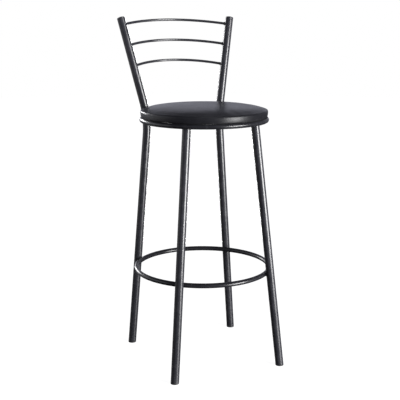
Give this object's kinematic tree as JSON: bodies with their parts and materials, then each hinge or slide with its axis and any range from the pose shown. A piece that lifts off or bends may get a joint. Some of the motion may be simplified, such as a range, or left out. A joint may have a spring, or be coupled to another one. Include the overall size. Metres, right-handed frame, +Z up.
{
  "type": "bar stool with footrest",
  "caption": "Tall bar stool: round padded seat on a tube ring, splayed round-tube legs, a ring footrest, and a low open back of bowed rods between leaned-back posts.",
  "frame": {"origin": "on the floor, under the middle of the bounding box", "axes": "+Z up, -Y to the front of the stool, +X to the right of a viewer who faces its front"},
  "size_m": [0.4364, 0.495, 1.0693],
  "materials": {
    "frame_paint": "gloss black powder coat",
    "rod_paint": "gloss black powder coat",
    "weld_paint": "gloss black powder coat over weld beads",
    "cap_plastic": "satin black moulded plastic",
    "plug_plastic": "matte black moulded plastic",
    "cover_vinyl": "semi-gloss black vinyl with a fine grain",
    "foam": "open-cell polyurethane foam",
    "plywood": "raw birch plywood",
    "zinc": "bright zinc plate",
    "staple_steel": "galvanised wire"
  },
  "bodies": {
    "root": {"front_leg_left": "frame_paint", "front_leg_right": "frame_paint", "rear_leg_left": "frame_paint", "rear_leg_right": "frame_paint", "seat_ring": "frame_paint", "footrest_ring": "frame_paint", "crossbar_front": "frame_paint", "crossbar_rear": "frame_paint", "back_rod_top": "rod_paint", "back_rod_middle": "rod_paint", "back_rod_bottom": "rod_paint", "footrest_welds": "weld_paint", "seat_ring_welds": "weld_paint", "back_rod_welds": "weld_paint", "crossbar_welds": "weld_paint", "leg_top_welds": "weld_paint", "post_cap_left": "cap_plastic", "post_cap_right": "cap_plastic", "foot_plug_front_left": "plug_plastic", "foot_plug_front_right": "plug_plastic", "foot_plug_rear_left": "plug_plastic", "foot_plug_rear_right": "plug_plastic", "seat_cover": "cover_vinyl", "seat_foam": "foam", "seat_board": "plywood", "seat_screws": "zinc", "seat_washers": "zinc", "seat_tee_nuts": "zinc", "cover_staples": "staple_steel"}
  },
  "joints": []
}
